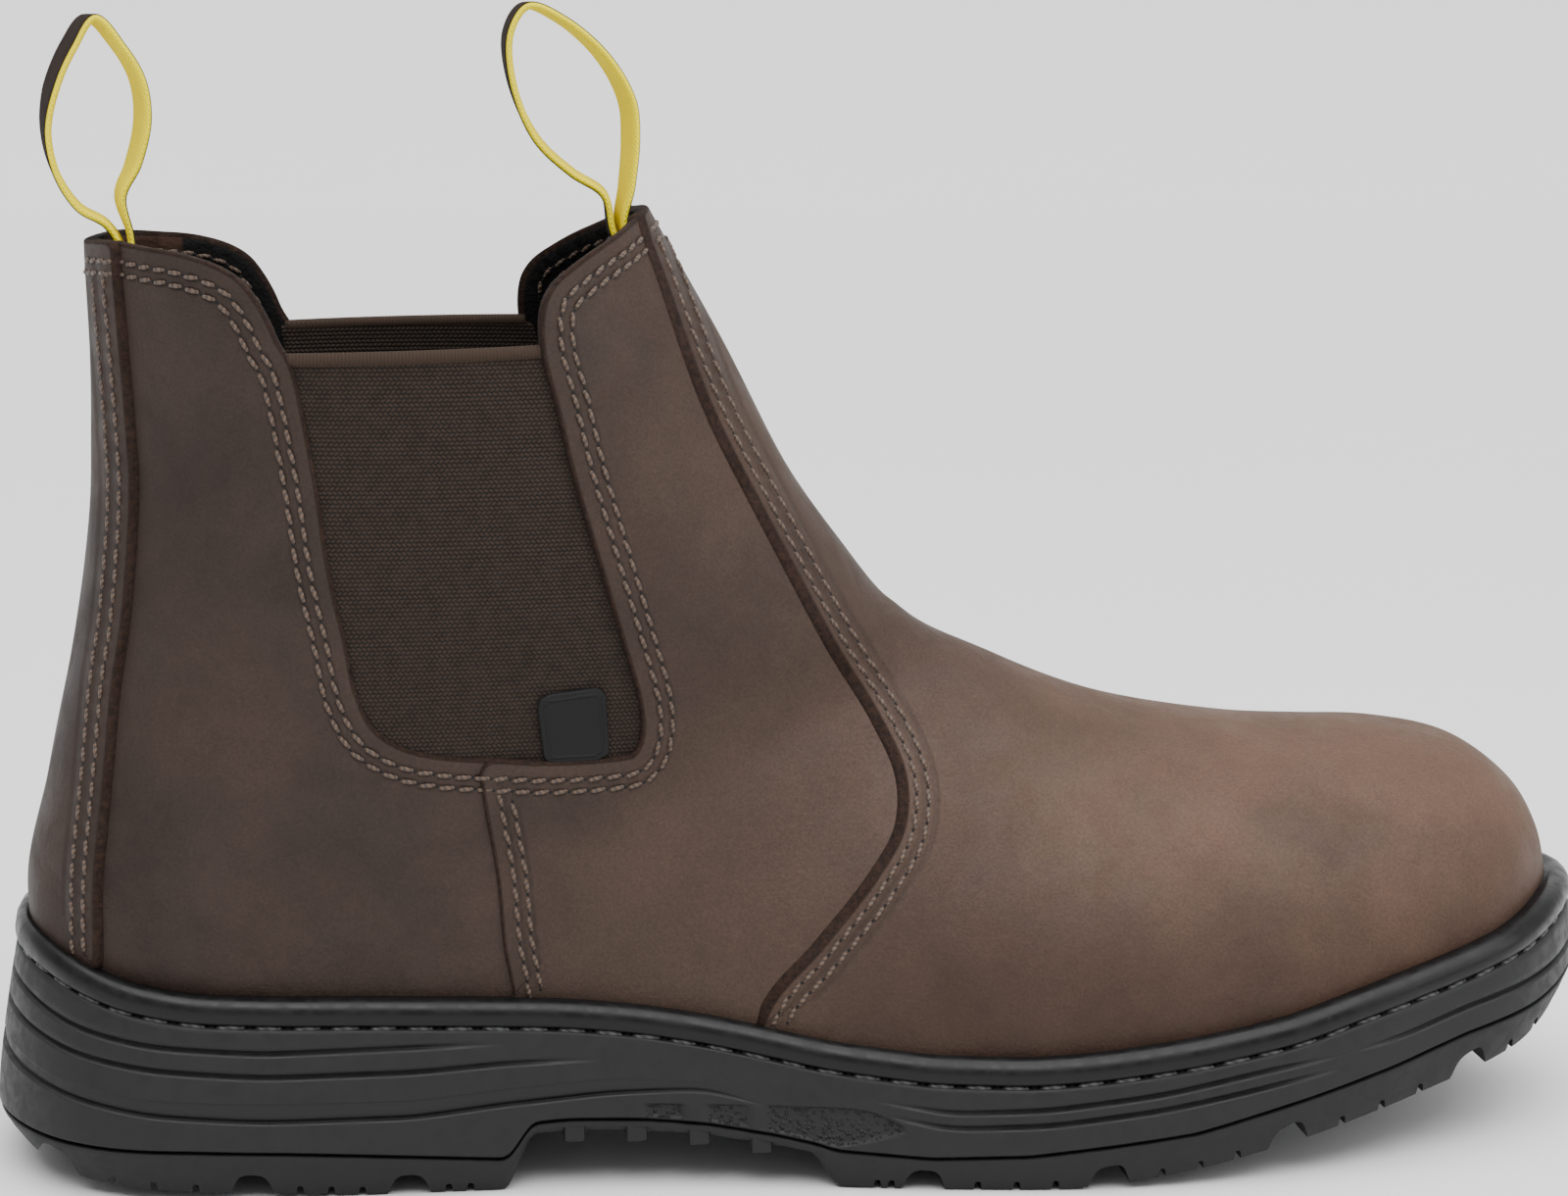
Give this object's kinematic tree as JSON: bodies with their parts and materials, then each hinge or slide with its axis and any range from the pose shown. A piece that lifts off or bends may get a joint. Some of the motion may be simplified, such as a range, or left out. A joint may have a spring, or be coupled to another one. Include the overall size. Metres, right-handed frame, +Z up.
{
  "type": "side gore work boot",
  "caption": "Ankle-high slip-on leather work boot with elastic side gores, yellow pull loops and a lugged black rubber sole, for the right foot.",
  "frame": {"origin": "middle of the bounding box, on the floor under the sole", "axes": "+X from heel to toe, +Y to the inner side of the foot, +Z up"},
  "size_m": [0.309, 0.1096, 0.2149],
  "materials": {
    "tread_rubber": "matt black rubber tread",
    "side_rubber": "satin black rubber, grooved",
    "welt_rubber": "satin black rubber bead with a stitched groove under it",
    "insole_cloth": "black cloth-faced footbed",
    "upper_leather": "brown oiled nubuck, double stitched, black lining",
    "gore_elastic": "dark brown woven elastic",
    "loop_webbing": "yellow and brown woven webbing",
    "tab_cloth": "black woven tab, bare"
  },
  "bodies": {
    "root": {"outsole": "tread_rubber", "midsole": "side_rubber", "welt": "welt_rubber", "insole": "insole_cloth", "upper": "upper_leather", "gore_outer": "gore_elastic", "gore_inner": "gore_elastic", "pull_loop_front": "loop_webbing", "pull_loop_rear": "loop_webbing", "label_tab": "tab_cloth"}
  },
  "joints": []
}
